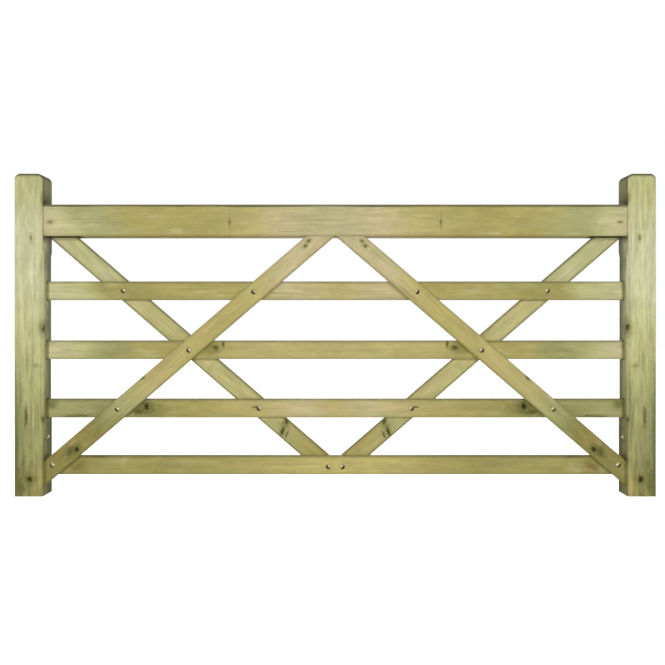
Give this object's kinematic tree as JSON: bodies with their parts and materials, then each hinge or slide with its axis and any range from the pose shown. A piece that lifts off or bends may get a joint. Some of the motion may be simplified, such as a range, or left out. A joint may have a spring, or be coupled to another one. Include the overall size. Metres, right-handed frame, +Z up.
{
  "type": "wooden field gate leaf",
  "caption": "Wooden field gate leaf: two stiles, a deep top rail, thin rails and crossed diamond braces, held with mortise joints and cup-head bolts.",
  "frame": {"origin": "middle of the hanging stile's outer face, half way up and half way through its thickness", "axes": "+X along the gate from the hanging stile to the closing stile, +Y from its front to its back, +Z up"},
  "size_m": [2.4, 0.0831, 1.208],
  "materials": {
    "stile_timber": "sawn and planed pressure-treated softwood",
    "top_rail_timber": "planed pressure-treated softwood",
    "rail_timber": "planed pressure-treated softwood",
    "brace_timber": "planed pressure-treated softwood",
    "zinc": "dull zinc plate"
  },
  "bodies": {
    "root": {"hanging_stile": "stile_timber", "closing_stile": "stile_timber", "top_rail": "top_rail_timber", "upper_rail": "rail_timber", "middle_rail": "rail_timber", "lower_rail": "rail_timber", "bottom_rail": "rail_timber", "front_brace_left": "brace_timber", "front_brace_right": "brace_timber", "back_brace_left": "brace_timber", "back_brace_right": "brace_timber", "upper_front_bolt_left": "zinc", "upper_front_bolt_right": "zinc", "upper_back_bolt_left": "zinc", "upper_back_bolt_right": "zinc", "middle_bolt_left": "zinc", "middle_bolt_right": "zinc", "lower_front_bolt_left": "zinc", "lower_front_bolt_right": "zinc", "lower_back_bolt_left": "zinc", "lower_back_bolt_right": "zinc", "bottom_front_bolt_left": "zinc", "bottom_front_bolt_right": "zinc", "bottom_back_bolt_left": "zinc", "bottom_back_bolt_right": "zinc", "stile_bolt_left": "zinc", "stile_bolt_right": "zinc", "washers": "zinc", "nuts": "zinc"}
  },
  "joints": []
}
